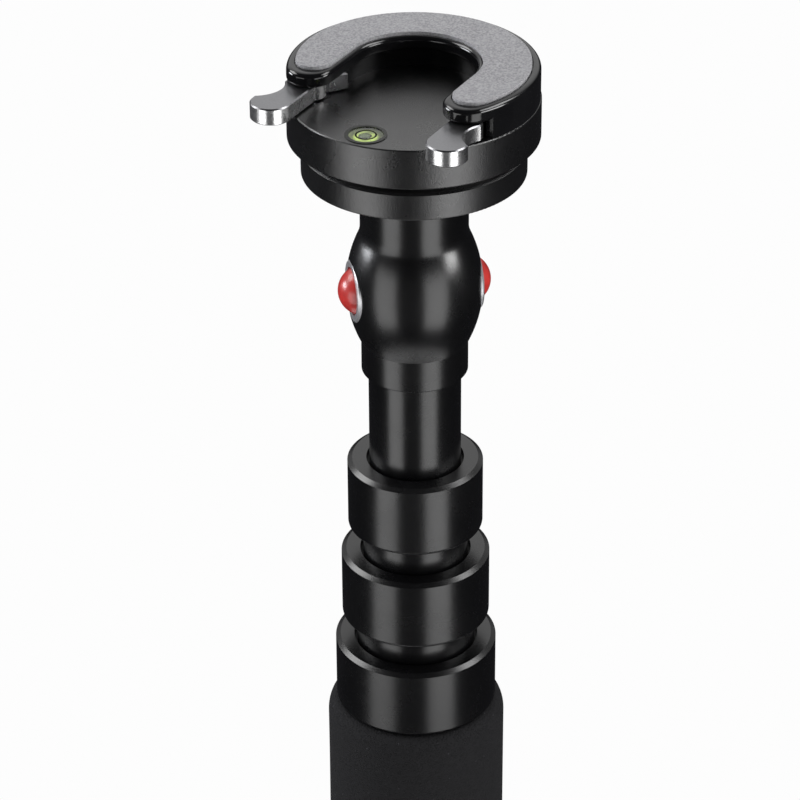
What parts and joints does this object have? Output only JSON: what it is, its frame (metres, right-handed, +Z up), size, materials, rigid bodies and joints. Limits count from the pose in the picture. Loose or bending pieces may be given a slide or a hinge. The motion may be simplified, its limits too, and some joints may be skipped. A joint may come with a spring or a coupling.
{
  "type": "camera tripod",
  "caption": "Telescopic camera pole with foam grip, twist locks and a quick-release head, on a folding three-leg base.",
  "frame": {"origin": "on the ground, on the axis of the pole", "axes": "+Z up along the pole, -Y towards the front leg"},
  "size_m": [0.347, 0.3024, 0.5394],
  "materials": {
    "anodised_black": "satin anodised black",
    "gloss_black": "smooth glossy black",
    "pad_grey": "fine-grained grey",
    "polished": "polished",
    "steel": "plain steel",
    "red_button": "glossy red",
    "foam": "matt closed-cell foam",
    "black_plastic": "matt black moulded",
    "foot_rubber": "matt rubber",
    "level_cup": "grey translucent",
    "level_liquid": "yellow-green liquid",
    "level_glass": "clear window",
    "bronze": "plain"
  },
  "bodies": {
    "base": {"base_hub": "anodised_black", "hub_bolt": "steel", "base_washer": "foot_rubber", "end_plug": "anodised_black", "outer_tube": "anodised_black", "lower_ferrule": "anodised_black", "lower_collet": "black_plastic", "foam_grip": "foam", "grip_end_ring": "anodised_black", "front_leg_pin": "steel", "right_leg_pin": "steel", "left_leg_pin": "steel"},
    "lower_nut": {"lower_lock_nut": "anodised_black"},
    "second_section": {"second_tube": "anodised_black", "second_guide_bush": "black_plastic", "middle_ferrule": "anodised_black", "middle_collet": "black_plastic"},
    "middle_nut": {"middle_lock_nut": "anodised_black"},
    "third_section": {"third_tube": "anodised_black", "third_guide_bush": "black_plastic", "upper_ferrule": "anodised_black", "upper_collet": "black_plastic"},
    "upper_nut": {"upper_lock_nut": "anodised_black"},
    "top_section": {"top_tube": "anodised_black", "top_guide_bush": "black_plastic", "spigot": "anodised_black", "socket_sleeve": "bronze", "coupling_body": "anodised_black", "left_bezel": "polished", "right_bezel": "polished", "left_button_spring": "steel", "right_button_spring": "steel", "neck_flange": "anodised_black", "spacer_washer": "black_plastic", "centre_bolt": "steel", "head_disc": "anodised_black", "ring_screws": "steel", "jaw_ring": "gloss_black", "grip_pad": "pad_grey", "left_lever_pin": "steel", "right_lever_pin": "steel", "left_lever_spring": "steel", "right_lever_spring": "steel", "level_cup": "level_cup", "level_liquid": "level_liquid", "level_glass": "level_glass"},
    "left_button": {"left_button": "red_button", "left_latch_plate": "steel"},
    "right_button": {"right_button": "red_button", "right_latch_plate": "steel"},
    "left_lever": {"left_lever": "polished"},
    "right_lever": {"right_lever": "polished"},
    "front_leg": {"front_leg": "anodised_black", "front_foot": "foot_rubber"},
    "right_leg": {"right_leg": "anodised_black", "right_foot": "foot_rubber"},
    "left_leg": {"left_leg": "anodised_black", "left_foot": "foot_rubber"}
  },
  "joints": [
    {"name": "front_leg_fold", "type": "hinge", "parent": "base", "child": "front_leg", "pos_m": [0, -0.016, 0.048], "axis": [1, 0, 0], "range_deg": [0, 78]},
    {"name": "right_leg_fold", "type": "hinge", "parent": "base", "child": "right_leg", "pos_m": [0.01386, 0.008, 0.048], "axis": [-0.5, 0.866, 0], "range_deg": [0, 78]},
    {"name": "left_leg_fold", "type": "hinge", "parent": "base", "child": "left_leg", "pos_m": [-0.01386, 0.008, 0.048], "axis": [-0.5, -0.866, 0], "range_deg": [0, 78]},
    {"name": "lower_nut_twist", "type": "hinge", "parent": "base", "child": "lower_nut", "pos_m": [0, 0, 0.3903], "axis": [0, 0, 1], "range_deg": [0, 90]},
    {"name": "second_section_slide", "type": "slide", "parent": "base", "child": "second_section", "axis": [0, 0, 1], "range_m": [0, 0.25]},
    {"name": "middle_nut_twist", "type": "hinge", "parent": "second_section", "child": "middle_nut", "pos_m": [0, 0, 0.4118], "axis": [0, 0, 1], "range_deg": [0, 90]},
    {"name": "third_section_slide", "type": "slide", "parent": "second_section", "child": "third_section", "axis": [0, 0, 1], "range_m": [0, 0.25]},
    {"name": "upper_nut_twist", "type": "hinge", "parent": "third_section", "child": "upper_nut", "pos_m": [0, 0, 0.4339], "axis": [0, 0, 1], "range_deg": [0, 90]},
    {"name": "top_section_slide", "type": "slide", "parent": "third_section", "child": "top_section", "axis": [0, 0, 1], "range_m": [0, 0.25]},
    {"name": "left_button_press", "type": "slide", "parent": "top_section", "child": "left_button", "axis": [0.974, 0.2267, 0], "range_m": [0, 0.0016], "stiffness_N_per_m": 2500, "springref_m": -0.0008, "deforming": ["left_button_spring"]},
    {"name": "right_button_press", "type": "slide", "parent": "top_section", "child": "right_button", "axis": [-0.974, -0.2267, 0], "range_m": [0, 0.0016], "stiffness_N_per_m": 2500, "springref_m": -0.0008, "deforming": ["right_button_spring"]},
    {"name": "left_lever_squeeze", "type": "hinge", "parent": "top_section", "child": "left_lever", "pos_m": [-0.01998, -0.00075, 0.53225], "axis": [0, 0, 1], "range_deg": [0, 16], "stiffness_Nm_per_rad": 0.35, "springref_deg": -6.88, "deforming": ["left_lever_spring"]},
    {"name": "right_lever_squeeze", "type": "hinge", "parent": "top_section", "child": "right_lever", "pos_m": [0.01025, -0.01717, 0.53225], "axis": [0, 0, -1], "range_deg": [0, 16], "stiffness_Nm_per_rad": 0.35, "springref_deg": -6.88, "deforming": ["right_lever_spring"]}
  ]
}
